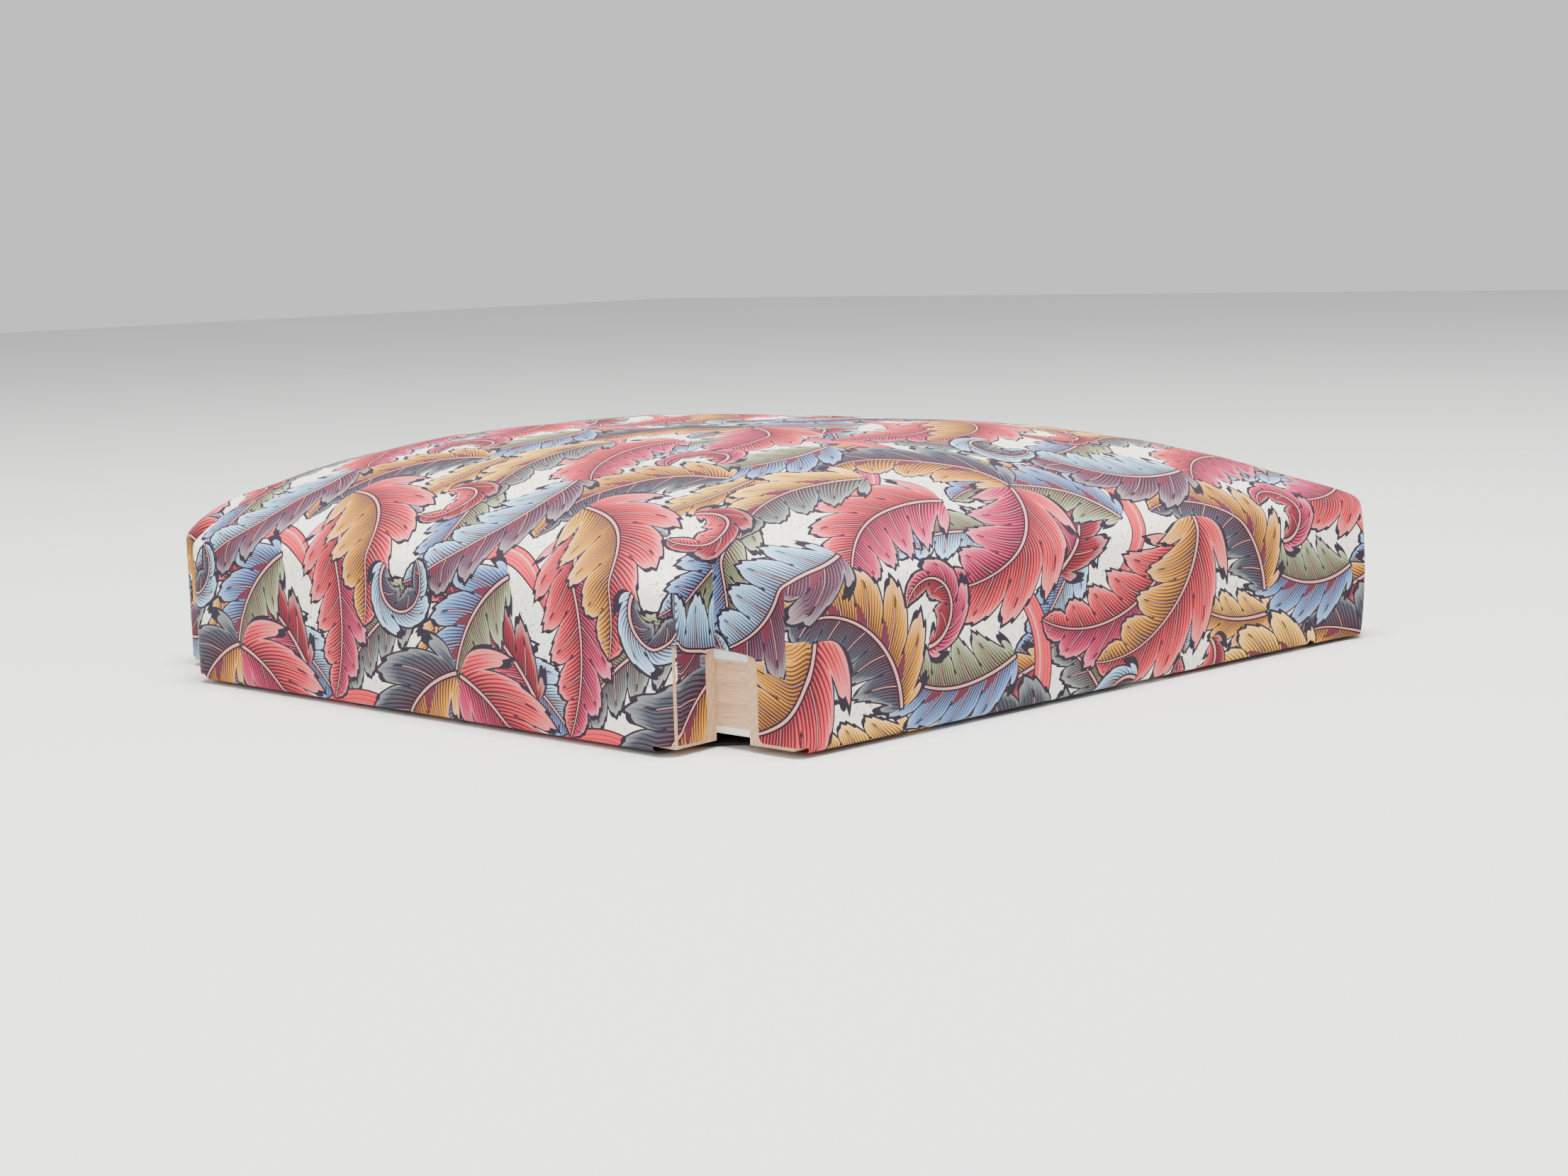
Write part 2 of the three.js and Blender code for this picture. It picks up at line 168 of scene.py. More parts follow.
def top_grid():
    """The top as rows of points from front to back, with lines along the sides of a notch."""
    inner = NOTCH_X / half_width(NOTCH_Y)
    outer = inner + (1 - inner) * crowd(OUTER_COLUMNS, True)[1:]
    half = np.concatenate([inner * crowd(INNER_COLUMNS, False), outer])
    across = np.concatenate([-half[:0:-1], half])[None, :]
    front = FRONT_Y + (NOTCH_Y - FRONT_Y) * crowd(FRONT_ROWS, True)
    back = NOTCH_Y + (BACK_Y - NOTCH_Y) * crowd(BACK_ROWS, True)[1:]
    along = np.concatenate([front, back])[:, None]
    x = across * half_width(np.minimum(along, NOTCH_Y))
    gap = (1 - abs(across)) * half_width(along)
    y = along + rounding(gap, FRONT_ROUND) * fade(along - FRONT_Y, FRONT_EASE)
    outside = abs(across) > inner + 1e-6
    y = y - rounding(gap, SIDE_ROUND) * fade(abs(NOTCH_Y - along), SIDE_EASE) * outside
    y = y - rounding(NOTCH_X - abs(x), REAR_ROUND) * fade(BACK_Y - along, REAR_EASE) * ~outside
    return np.stack([x, y, top_height(x, y)], axis=2)


ROWS, COLUMNS = FRONT_ROWS + BACK_ROWS + 1, 2 * (INNER_COLUMNS + OUTER_COLUMNS) + 1
NOTCH_LEFT, NOTCH_RIGHT = COLUMNS - 1 - OUTER_COLUMNS, OUTER_COLUMNS  # their columns


def perimeter():
    """(row, column, part) all round the top, anticlockwise from above, from the rear's left end.
    The part names the wall between that point and the next."""
    last, notch = ROWS - 1, FRONT_ROWS
    path = [(last, c, "rear") for c in range(NOTCH_LEFT, NOTCH_RIGHT, -1)]
    path += [(r, NOTCH_RIGHT, "notch_side") for r in range(last, notch, -1)]
    path += [(notch, c, "notch_end") for c in range(NOTCH_RIGHT, 0, -1)]
    path += [(r, 0, "side") for r in range(notch, 0, -1)]
    path += [(0, c, "front") for c in range(COLUMNS - 1)]
    path += [(r, COLUMNS - 1, "side") for r in range(notch)]
    path += [(notch, c, "notch_end") for c in range(COLUMNS - 1, NOTCH_LEFT, -1)]
    path += [(r, NOTCH_LEFT, "notch_side") for r in range(notch, last)]
    return path


LOOP = perimeter()
LOOP_ROWS = np.array([r for r, _, _ in LOOP])
LOOP_COLUMNS = np.array([c for _, c, _ in LOOP])
PARTS = np.array([part for _, _, part in LOOP])
CORNERS = [i for i in range(len(LOOP)) if PARTS[i] != PARTS[i - 1]]
REAR, RIGHT_NOTCH, RIGHT_END, RIGHT, FRONT, LEFT, LEFT_END, LEFT_NOTCH = CORNERS


def outward(rim):
    """The level direction away from the seat at each point of its edge."""
    ahead = (np.roll(rim, -1, 0) - rim)[:, :2]
    ahead /= np.linalg.norm(ahead, axis=1, keepdims=True)
    mean = ahead + np.roll(ahead, 1, 0)
    mean /= np.linalg.norm(mean, axis=1, keepdims=True)
    return np.stack([mean[:, 1], -mean[:, 0]], 1)


def nearest(points, places):
    """How far each point is from the nearest of these places, seen from above."""
    return np.linalg.norm(points[:, None] - places[None], axis=2).min(1)


def from_notch(rim):
    """How far each point of the edge is from the nearest leg notch, and 0 in one."""
    inside = (rim[:, 1] > NOTCH_Y - SIDE_ROUND) & (abs(rim[:, 0]) > NOTCH_X - REAR_ROUND)
    return nearest(rim[:, :2], rim[inside, :2])


def in_socket(rim):
    return (abs(rim[:, 0]) > SOCKET_X) & (rim[:, 1] < SOCKET_Y)


def skirt_profile(height, swell, over_leg):
    """(distance out, height) down a wall, round its fold and along its hem."""
    radius = SOCKET_FOLD if over_leg else FOLD_RADIUS
    turn = math.pi if over_leg else math.pi / 2
    foot = COVER_Z + radius
    profile = []
    for t in np.linspace(0, 1, WALL_ROWS + 1):
        profile.append((swell * math.sin(math.pi * t) ** BULGE_POWER, height + (foot - height) * t))
    for k in range(1, FOLD_ROWS + 1):
        angle = turn * k / FOLD_ROWS
        profile.append((radius * (math.cos(angle) - 1), foot - radius * math.sin(angle)))
    for k in range(1, HEM_ROWS + 1):
        t = k / HEM_ROWS
        up = (-2 * radius, foot + SOCKET_HEM * t)
        level = (-radius - (HEM - radius) * t, COVER_Z)
        profile.append(up if over_leg else level)
    return profile


def make_skirt(rim):
    """A column of points under each point of the rim."""
    waves = UNEVEN * np.sin(rim[:, 0] * 70 + rim[:, 1] * 90)
    swells = (WALL_BULGE + waves) * smooth(from_notch(rim) / EVEN_NEAR)
    columns = []
    for point, away, swell, over_leg in zip(rim, outward(rim), swells, in_socket(rim)):
        profile = skirt_profile(point[2], swell, over_leg)
        columns.append([(*(point[:2] + away * out), z) for out, z in profile])
    return np.array(columns)


# ---- the cloth's own coordinates ----
def length_along(points, axis, start):
    """Length along the rows (axis 1) or the columns (axis 0), measured from one of them."""
    steps = np.linalg.norm(np.diff(points, axis=axis), axis=2)
    total = np.insert(np.cumsum(steps, axis=axis), 0, 0, axis=axis)
    return total - np.take(total, [start], axis=axis)


def steps_within(rim, start, step, length):
    """How many of the rim's steps from one point make up a length."""
    count, covered = 0, 0.0
    while covered < length - 1e-4:
        here, there = (start + step * k for k in (count, count + 1))
        covered += np.linalg.norm(rim[here % len(rim)] - rim[there % len(rim)])
        count += 1
    return count


class Flap:
    """A wall's cloth. It starts from the top's cloth along a straight stretch of the rim, and is
    carried on past its ends, round a corner or into a notch."""

    def __init__(self, first, last, before, after, ahead, down):
        self.columns = [i % len(LOOP) for i in range(first - before, last + after + 1)]
        self.start, self.end = before, before + last - first
        self.ahead, self.down = np.array(ahead), np.array(down)

    def lay(self, rim, rim_cloth, depth):
        """The cloth's coordinates down each of its columns."""
        cloth = [rim_cloth[i] for i in self.columns]
        gaps = [np.linalg.norm(rim[i] - rim[j]) for i, j in zip(self.columns, self.columns[1:])]
        for k in range(self.start - 1, -1, -1):
            cloth[k] = cloth[k + 1] - self.ahead * gaps[k]
        for k in range(self.end + 1, len(cloth)):
            cloth[k] = cloth[k - 1] + self.ahead * gaps[k - 1]
        self.cloth = {i: c + self.down * depth[i][:, None] for i, c in zip(self.columns, cloth)}


def make_flaps(rim):
    """The flaps, and for each step along the rim the flap above the tuck's foot and below it."""
    count = len(LOOP)
    rear_arc = steps_within(rim, REAR, 1, REAR_ROUND * math.pi / 2)
    rear_turn = rear_arc + steps_within(rim, RIGHT_NOTCH, 1, FLANGE)
    side_arc = steps_within(rim, RIGHT, -1, SIDE_ROUND * math.pi / 2)
    side_turn = side_arc + steps_within(rim, RIGHT - side_arc, -1, FLANGE)
    front_arc = steps_within(rim, FRONT, 1, FRONT_ROUND * math.pi / 2)
    walls = [
        Flap(REAR + rear_arc, RIGHT_NOTCH - rear_arc, rear_turn, rear_turn, (-1, 0), (0, 1)),
        Flap(RIGHT, FRONT, side_turn, 0, (0, -1), (-1, 0)),
        Flap(FRONT + front_arc, LEFT - front_arc, front_arc, front_arc, (1, 0), (0, -1)),
        Flap(LEFT, LEFT_END, 0, side_turn, (0, 1), (1, 0)),
    ]
    tucks = [
        Flap(RIGHT_NOTCH, RIGHT_END, 0, 0, (0, -1), (-1, 0)),
        Flap(RIGHT_END, RIGHT - side_arc, 0, 0, (-1, 0), (0, 1)),
        Flap(LEFT_END + side_arc, LEFT_NOTCH, 0, 0, (-1, 0), (0, 1)),
        Flap(LEFT_NOTCH, count, 0, 0, (0, 1), (1, 0)),
    ]
    upper, lower = [None] * count, [None] * count
    for flap in walls:
        for i in flap.columns[:-1]:
            upper[i] = lower[i] = flap
    for flap in tucks:
        for i in flap.columns[:-1]:
            upper[i] = flap
    return walls, tucks, upper, lower


# ---- meshes ----
NO_CLOTH = [(0, 0)] * 4  # for a face whose material doesn't use the cloth's coordinates


class Sheet:
    """Vertices, faces and the faces' cloth coordinates, collected for one mesh."""

    def __init__(self):
        self.points, self.faces, self.cloth = [], [], []

    def add(self, point):
        self.points.append(tuple(point))
        return len(self.points) - 1

    def face(self, corners, cloth):
        kept = [k for k in range(len(corners)) if corners[k] != corners[k - 1]]
        self.faces.append([corners[k] for k in kept])
        self.cloth.append([tuple(cloth[k]) for k in kept])

    def piece(self, name):
        mesh = bpy.data.meshes.new(name)
        mesh.from_pydata(self.points, [], self.faces)
        layer = mesh.uv_layers.new(name="cloth")
        flat = [number for face in self.cloth for corner in face for number in corner]
        layer.data.foreach_set("uv", flat)
        return new_piece(name, mesh)


def new_piece(name, mesh):
    for face in mesh.polygons:
        face.use_smooth = True
    piece = bpy.data.objects.new(name, mesh)
    bpy.context.scene.collection.objects.link(piece)
    return piece


def on_top(row, column):
    return row <= FRONT_ROWS or NOTCH_RIGHT <= column <= NOTCH_LEFT


def add_top(sheet, top, cloth):
    """The top's faces. Returns its vertices, by row and column."""
    ids = np.full((ROWS, COLUMNS), -1)
    for row, column in np.ndindex(ROWS, COLUMNS):
        if on_top(row, column):
            ids[row, column] = sheet.add(top[row, column])
    for row, column in np.ndindex(ROWS - 1, COLUMNS - 1):
        corners = [(row, column), (row, column + 1), (row + 1, column + 1), (row + 1, column)]
        if all(on_top(*corner) for corner in corners):
            sheet.face([ids[corner] for corner in corners], [cloth[corner] for corner in corners])
    return ids


def add_columns(sheet, top_ids, columns):
    """The skirt's vertices, by column and row, with the rim's own at the head of each column."""
    ids = np.empty(columns.shape[:2], int)
    ids[:, 0] = top_ids[LOOP_ROWS, LOOP_COLUMNS]
    for i, j in np.ndindex(len(columns), columns.shape[1] - 1):
        ids[i, j + 1] = sheet.add(columns[i, j + 1])
    return ids


def add_walls(sheet, ids, rows):
    """Plain walls all round the rim, down to a row."""
    for i in range(len(LOOP)):
        k = (i + 1) % len(LOOP)
        for j in range(rows):
            sheet.face([ids[i, j], ids[i, j + 1], ids[k, j + 1], ids[k, j]], NO_CLOTH)


def down_each(columns):
    """Length down each column from the rim."""
    return np.array([np.insert(np.cumsum(np.linalg.norm(np.diff(c, axis=0), axis=1)), 0, 0)
                     for c in columns])


PLEAT_STEP = 0.0016  # how far the side's folded edge stands over the front's cloth
PLEAT_WIDE = 0.014
PLEAT_COLUMNS = 11  # enough to cross its width
PLEAT_ROWS = 3  # over which the fold rises from the rim
FOLD_EDGES = {FRONT: -1, LEFT: 1}  # rim point of each front corner's pleat, and its side
FRONT_WALL = 2  # its place among the walls' flaps


def raise_pleats(columns):
    """The side walls stand a little proud beside their folded front edges."""
    raised = columns.copy()
    for edge, side in FOLD_EDGES.items():
        for k in range(1, PLEAT_COLUMNS + 1):
            i = edge + side * k
            away = np.linalg.norm(columns[i, 0] - columns[edge, 0])
            lift = PLEAT_STEP * fade(away, PLEAT_WIDE)
            raised[i, :, 0] += side * lift * smooth(np.arange(columns.shape[1]) / PLEAT_ROWS)
    return raised


def add_pleats(sheet, ids, columns):
    """The folded front edge of each side wall, as vertices over the front flap's own."""
    over = {}
    for i, side in FOLD_EDGES.items():
        lift = PLEAT_STEP * smooth(np.arange(columns.shape[1]) / PLEAT_ROWS)
        points = columns[i] + np.stack([side * lift, 0 * lift, 0 * lift], 1)
        over[i] = [ids[i, 0]] + [sheet.add(point) for point in points[1:]]
    return over


def add_skirt(sheet, top_ids, rim_cloth, rim, columns):
    """The walls, turned in beside the back legs, their hem, and the pleats at the front."""
    depth = down_each(columns)
    walls, tucks, upper, lower = make_flaps(rim)
    for flap in walls + tucks:
        flap.lay(rim, rim_cloth, depth)
    hemmed = {i for flap in walls for i in flap.columns[flap.start:flap.end]}
    columns = raise_pleats(columns)
    ids = add_columns(sheet, top_ids, columns)
    over = add_pleats(sheet, ids, columns)
    socket = in_socket(rim)
    for i in range(len(LOOP)):
        k = (i + 1) % len(LOOP)
        is_side = PARTS[i] == "side"
        here = over[i] if is_side and i in over else ids[i]
        there = over[k] if is_side and k in over else ids[k]
        even = socket[i] == socket[k] and (socket[i] or i in hemmed)
        for j in range(columns.shape[1] - 1):
            flap = upper[i] if depth[i, j + 1] < TUCK else lower[i]
            if flap and (j < WALL_ROWS or even):
                a, b = flap.cloth[i], flap.cloth[k]
                sheet.face([here[j], here[j + 1], there[j + 1], there[j]],
                           [a[j], a[j + 1], b[j + 1], b[j]])
    for i, side in FOLD_EDGES.items():
        cloth = walls[FRONT_WALL].cloth[i]
        for j in range(WALL_ROWS + FOLD_ROWS):
            corners = [ids[i, j], ids[i, j + 1], over[i][j + 1], over[i][j]]
            laid = [cloth[j], cloth[j + 1], cloth[j + 1], cloth[j]]
            sheet.face(corners[::side], laid[::side])


# ---- the cover's simulation ----
SIM_FRAMES = 18
SIM_CAP = 0.0018  # the most that any point may move
PRESSURE = 6.0  # of the padding under the cloth
WEIGHT, STRETCH, SHEAR, BENDING = 0.25, 25.0, 15.0, 1.5  # of the cloth, and its stiffnesses


def press_out(trial, fixed):
    """Runs the cloth simulation, with the fixed vertices held still. Returns its points."""
    trial.vertex_groups.new(name="held").add(fixed, 1.0, "REPLACE")
    cloth = trial.modifiers.new("Cloth", "CLOTH")
    settings = cloth.settings
    settings.quality = 6
    settings.mass = WEIGHT
    settings.tension_stiffness = settings.compression_stiffness = STRETCH
    settings.shear_stiffness = SHEAR
    settings.bending_stiffness = BENDING
    settings.vertex_group_mass = "held"
    settings.use_pressure = True
    settings.uniform_pressure_force = PRESSURE
    settings.effector_weights.gravity = 0
    cloth.collision_settings.use_collision = False
    cloth.point_cache.frame_start, cloth.point_cache.frame_end = 1, SIM_FRAMES
    for number in range(1, SIM_FRAMES + 1):
        bpy.context.scene.frame_set(number)
    shaped = trial.evaluated_get(bpy.context.evaluated_depsgraph_get())
    flat = np.empty(len(shaped.data.vertices) * 3)
    shaped.data.vertices.foreach_get("co", flat)
    bpy.context.scene.frame_set(1)
    return flat.reshape(-1, 3)


def settle(top, columns):
    """The cover after its padding has pressed it out, as the same rows and columns. Its rim, its
    foot and its notches hold still, and the rest moves outwards only, by up to the cap."""
    sheet = Sheet()
    top_ids = add_top(sheet, top, top[:, :, :2])
    ids = add_columns(sheet, top_ids, columns)
    add_walls(sheet, ids, WALL_ROWS + FOLD_ROWS)
    trial = sheet.piece("cover_trial")
    notched = [i for i in range(len(LOOP)) if PARTS[i] in ("notch_side", "notch_end")]
    fixed = set(ids[:, WALL_ROWS:].ravel()) | set(ids[notched, :].ravel()) | set(ids[:, 0])
    start = np.array(sheet.points)
    normals = np.array([vertex.normal for vertex in trial.data.vertices])
    pressed = press_out(trial, [int(i) for i in fixed])
    swell = np.maximum(((pressed - start) * normals).sum(1), 0)
    ended = start + normals * (SIM_CAP * np.tanh(swell / SIM_CAP))[:, None]
    bpy.data.objects.remove(trial)
    new_top = top.copy()
    new_top[top_ids >= 0] = ended[top_ids[top_ids >= 0]]
    return new_top, ended[ids]


# ---- building the pieces ----
def smoothed(piece):
    """The piece with its mesh subdivided once."""
    piece.modifiers.new("Subdivision", "SUBSURF").levels = 1
    shaped = piece.evaluated_get(bpy.context.evaluated_depsgraph_get())
    mesh = bpy.data.meshes.new_from_object(shaped)
    piece.modifiers.clear()
    piece.data = mesh
    return piece


def make_cover(top, columns):
    """The printed cotton: its top, its walls, the pleats and the hem, as one sheet."""
    rim = top[LOOP_ROWS, LOOP_COLUMNS]
    cloth = np.stack([length_along(top, 1, COLUMNS // 2), length_along(top, 0, FRONT_ROWS // 2)], 2)
    sheet = Sheet()
    ids = add_top(sheet, top, cloth)
    add_skirt(sheet, ids, cloth[LOOP_ROWS, LOOP_COLUMNS], rim, columns)
    cover = smoothed(sheet.piece("printed_cover"))
    cover.data.materials.append(printed_cotton())
    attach(cover, "root")
    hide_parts("top_cover")


def drawn_in(points, side, down):
    """Points of the cover moved in from its sides and down from its top."""
    x, y, z = np.moveaxis(points, -1, 0)
    return np.stack([x * (1 - side / half_width(y)), y * (1 - side / BACK_Y), z - down], -1)


def layer_surface(sheet, top, columns, side, down, foot):
    """A layer's top and walls, down to its foot. Returns the vertices round its lower edge."""
    walls = drawn_in(columns[:, :WALL_ROWS + 1], side, down)
    head = walls[:, :1, 2]
    share = (head - walls[:, :, 2]) / (head - walls[:, -1:, 2])
    walls[:, :, 2] = head - share * (head - foot)
    top_ids = add_top(sheet, drawn_in(top, side, down), top[:, :, :2])
    ids = add_columns(sheet, top_ids, walls)
    add_walls(sheet, ids, WALL_ROWS)
    return ids[:, -1]


def turn_over(sheet, first):
    """Turns the faces from this one on to look the other way."""
    for k in range(first, len(sheet.faces)):
        sheet.faces[k].reverse()
        sheet.cloth[k].reverse()


def join_rings(sheet, outer, inner):
    for i in range(len(outer)):
        k = (i + 1) % len(outer)
        sheet.face([outer[i], inner[i], inner[k], outer[k]], NO_CLOTH)


def finish_layer(sheet, name, node, material):
    layer = sheet.piece(name)
    layer.data.materials.append(material)
    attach(layer, "root")
    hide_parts(node)
    return layer


def make_shell(name, node, top, columns, outer, inner, slot, material):
    """A sheet between two insets, each given as (from the side, from the top)."""
    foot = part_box(node)[0].z
    sheet = Sheet()
    outer_edge = layer_surface(sheet, top, columns, *outer, foot)
    first = len(sheet.faces)
    inner_edge = layer_surface(sheet, top, columns, *inner, foot)
    turn_over(sheet, first)
    join_rings(sheet, outer_edge, inner_edge)
    return finish_layer(sheet, name, node, material)


SOFT_EDGE = 0.006  # how far a pad's lower edge is rounded under


def make_pad(name, node, top, columns, outer, material, hollow=None):
    """A pad inside an inset. It is flat below, or hollow over what another inset holds."""
    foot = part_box(node)[0].z
    sheet = Sheet()
    outer_edge = layer_surface(sheet, top, columns, *outer, foot)
    first = len(sheet.faces)
    if hollow:
        inner_edge = layer_surface(sheet, top, columns, *hollow, foot)
    else:
        under = drawn_in(top, outer[0] + SOFT_EDGE, 0.0)
        under[:, :, 2] = foot
        inner_edge = add_top(sheet, under, top[:, :, :2])[LOOP_ROWS, LOOP_COLUMNS]
    turn_over(sheet, first)
    join_rings(sheet, outer_edge, inner_edge)
    pad = finish_layer(sheet, name, node, material)


# each layer's outer and inner faces, as distances from the cover's sides and from its top
WADDING_FACES = (0.0015, 0.0015), (0.0035, 0.0045)
CALICO_FACES = (0.0038, 0.0048), (0.0044, 0.0054)
HAIR_FACES = (0.0047, 0.0057), (0.0107, 0.0137)
SCRIM_FACES = (0.0110, 0.0140), (0.0118, 0.0148)
FIBRE_FACE = (0.0121, 0.0151)


def make_layers(top, columns):
    """Everything between the cover and the webbing, from the outside in."""
    wadding = make_shell("wadding_layer", "wadding", top, columns, *WADDING_FACES,
                         "wadding", wadding_fluff())
    calico = make_shell("calico_cover", "calico_undercover", top, columns, *CALICO_FACES,
                        "calico", calico_weave())
    make_pad("hair_stuffing", "second_stuffing", top, columns, HAIR_FACES[0],
             loose_fibre("hair", HAIR_DARK, HAIR_LIGHT, 900.0), HAIR_FACES[1])
    scrim = make_shell("scrim_cover", "stuffing_scrim", top, columns, *SCRIM_FACES,
                       "hessian", plain_weave("scrim", JUTE, JUTE_DARK, 2.2))
    make_pad("coir_stuffing", "first_stuffing", top, columns, FIBRE_FACE,
             loose_fibre("coir", COIR_DARK, COIR_LIGHT, 500.0))


# ---- the dust cover ----
DUST_FRONT_CUT = (0.150, -0.130)  # where its front corners are cut off, by x and by y
DUST_BACK_CUT = (0.146, 0.146)
DUST_STEP = 0.004
TACK_PULL = 0.0012  # how far the edge draws in between its tacks
TACK_LIFT = 0.0004  # how much closer to the rails it is held at a tack
TACK_NEAR = 0.030
# its rings of points from the folded edge's raw end to its middle: (share of the outline, height)
DUST_RINGS = [
    (0.952, 0.00135), (0.975, 0.00135), (0.996, 0.00130), (1.0, 0.00105), (0.997, 0.00085),
    (0.975, 0.00080), (0.952, 0.00075), (0.946, 0.00090), (0.93, 0.00105), (0.88, 0.00100),
    (0.80, 0.00085), (0.68, 0.00070), (0.54, 0.00060), (0.38, 0.00055), (0.20, 0.00050),
]


def dust_outline():
    """Points round the dust cover's edge."""
    low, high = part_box("dust_cover")
    widest, cut_y = high.x, DUST_FRONT_CUT[1]
    slope = (BACK_HALF - FRONT_HALF) / (BACK_Y - FRONT_Y)
    half = [
        (DUST_FRONT_CUT[0], low.y), (widest, cut_y),
        (widest + slope * (DUST_BACK_CUT[1] - cut_y), DUST_BACK_CUT[1]), (DUST_BACK_CUT[0], high.y),
    ]
    corners = np.array(half + [(-x, y) for x, y in reversed(half)])
    points = []
    for here, there in zip(corners, np.roll(corners, -1, 0)):
        count = round(np.linalg.norm(there - here) / DUST_STEP)
        points += [here + (there - here) * k / count for k in range(count)]
    return np.array(points)


def tack_places():
    """The middle of each tack that holds the dust cover, seen from above."""
    boxes = [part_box(name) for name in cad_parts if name.startswith("dust_cover_tack")]
    return np.array([((low + high) / 2)[:2] for low, high in boxes])


def make_dust_cover():
    """Black cotton with its edge folded in, held up at its tacks and slack between them."""
    outline = dust_outline()
    tacks = tack_places()
    apart = nearest(outline, tacks)
    inward = -outline / np.linalg.norm(outline, axis=1, keepdims=True)
    outline = outline + inward * (TACK_PULL * smooth(apart / TACK_NEAR))[:, None]
    sheet = Sheet()
    rings = []
    for share, height in DUST_RINGS:
        ring = outline * share
        lift = TACK_LIFT * fade(nearest(ring, tacks), TACK_NEAR)
        rings.append([sheet.add((*point, height + up)) for point, up in zip(ring, lift)])
    middle = sheet.add((0.0, 0.0, DUST_RINGS[-1][1]))
    rings.append([middle] * len(outline))
    for outer, inner in zip(rings, rings[1:]):
        join_rings(sheet, outer, inner)
    dust = finish_layer(sheet, "black_dust_cover", "dust_cover", black_cotton())


# ---- materials ----
NODES = None  # the nodes of the material that is being made


def operator(operation, swapped=False):
    """A method that works out an operation on a signal and whatever else it is given."""
    def method(self, *others):
        values = (self, *others)
        return work_out(operation, *(reversed(values) if swapped else values))
    return method


class Signal:
    """A number that a material works out at each point."""

    def __init__(self, socket):
        self.socket = socket

    __add__ = __radd__ = operator("ADD")
    __sub__, __rsub__ = operator("SUBTRACT"), operator("SUBTRACT", swapped=True)
    __mul__ = __rmul__ = operator("MULTIPLY")
    __truediv__, __rtruediv__ = operator("DIVIDE"), operator("DIVIDE", swapped=True)
    __pow__ = operator("POWER")
    __lt__, __gt__ = operator("LESS_THAN"), operator("GREATER_THAN")
    __abs__ = operator("ABSOLUTE")


def feed(node, index, value):
    """Gives a node's input a number, a colour or another node's result."""
    if isinstance(value, Signal):
        value = value.socket
    if isinstance(value, bpy.types.NodeSocket):
        NODES.id_data.links.new(value, node.inputs[index])
    elif isinstance(value, tuple) and node.inputs[index].type == "RGBA":
        node.inputs[index].default_value = (*value, 1)
    else:
        node.inputs[index].default_value = value


def work_out(operation, *values, limited=False):
    node = NODES.new("ShaderNodeMath")
    node.operation, node.use_clamp = operation, limited
    for index, value in enumerate(values):
        feed(node, index, value)
    return Signal(node.outputs[0])


def lowest(a, b):
    return work_out("MINIMUM", a, b)


def highest(a, b):
    return work_out("MAXIMUM", a, b)


def clamped(a):
    return work_out("ADD", a, 0.0, limited=True)


def fraction(a):
    return work_out("FRACT", a)


def wrap(a, size):
    return work_out("WRAP", a, size / 2, -size / 2)


def bearing(a, b):
    return work_out("ARCTAN2", a, b)


def root(a):
    return work_out("SQRT", a)


def sine(a):
    return work_out("SINE", a)


def paint(under, over, amount):
    """One colour over another."""
    node = NODES.new("ShaderNodeMix")
    node.data_type = "RGBA"
    feed(node, 0, amount)
    feed(node, 6, under)
    feed(node, 7, over)
    return node.outputs[2]


def start_material(name):
    global NODES
    material = bpy.data.materials.new(name)
    material.use_nodes = True
    NODES = material.node_tree.nodes
    return material


def start_group(name, numbers, colours):
    """A node group with these inputs, and its inputs as signals and colours by name."""
    global NODES
    group = bpy.data.node_groups.new(name, "ShaderNodeTree")
    for key in numbers:
        group.interface.new_socket(key, in_out="INPUT", socket_type="NodeSocketFloat")
    for key in colours:
        group.interface.new_socket(key, in_out="INPUT", socket_type="NodeSocketColor")
    group.interface.new_socket("colour", in_out="OUTPUT", socket_type="NodeSocketColor")
    group.interface.new_socket("x", in_out="OUTPUT", socket_type="NodeSocketFloat")
    NODES = group.nodes
    given = NODES.new("NodeGroupInput").outputs
    inputs = {key: Signal(given[key]) for key in numbers}
    return group, inputs | {key: given[key] for key in colours}


def end_group(group, colour, x):
    """Hands on the colour, and x by way of it. The next group then can't start before this one
    ends, which keeps what the renderer holds at once small."""
    output = NODES.new("NodeGroupOutput")
    feed(output, 0, colour)
    feed(output, 1, x + axes(colour)[0] * 1e-6)
    return group


def use_group(group, **values):
    node = NODES.new("ShaderNodeGroup")
    node.node_tree = group
    for key, value in values.items():
        feed(node, key, value)
    return node.outputs[0], Signal(node.outputs[1])


def noise(place, scale, detail=3.0):
    node = NODES.new("ShaderNodeTexNoise")
    node.inputs["Scale"].default_value = scale
    node.inputs["Detail"].default_value = detail
    feed(node, "Vector", place)
    return Signal(node.outputs["Fac"])


def object_place():
    return NODES.new("ShaderNodeTexCoord").outputs["Object"]


def cloth_place():
    node = NODES.new("ShaderNodeUVMap")
    node.uv_map = "cloth"
    return node.outputs[0]


def axes(place):
    node = NODES.new("ShaderNodeSeparateXYZ")
    feed(node, 0, place)
    return [Signal(socket) for socket in node.outputs]


def finish(colour, roughness, height=None, bump_depth=0.0, fixed=None):
    """The shader's own sockets, for the material that is being made."""
    shader = NODES["Principled BSDF"]
    feed(shader, "Base Color", colour)
    feed(shader, "Roughness", roughness)
    for name, value in (fixed or {}).items():
        shader.inputs[name].default_value = value
    if height is not None:
        bump = NODES.new("ShaderNodeBump")
        bump.inputs["Distance"].default_value = bump_depth
        feed(bump, "Height", height)
        NODES.id_data.links.new(bump.outputs[0], shader.inputs["Normal"])


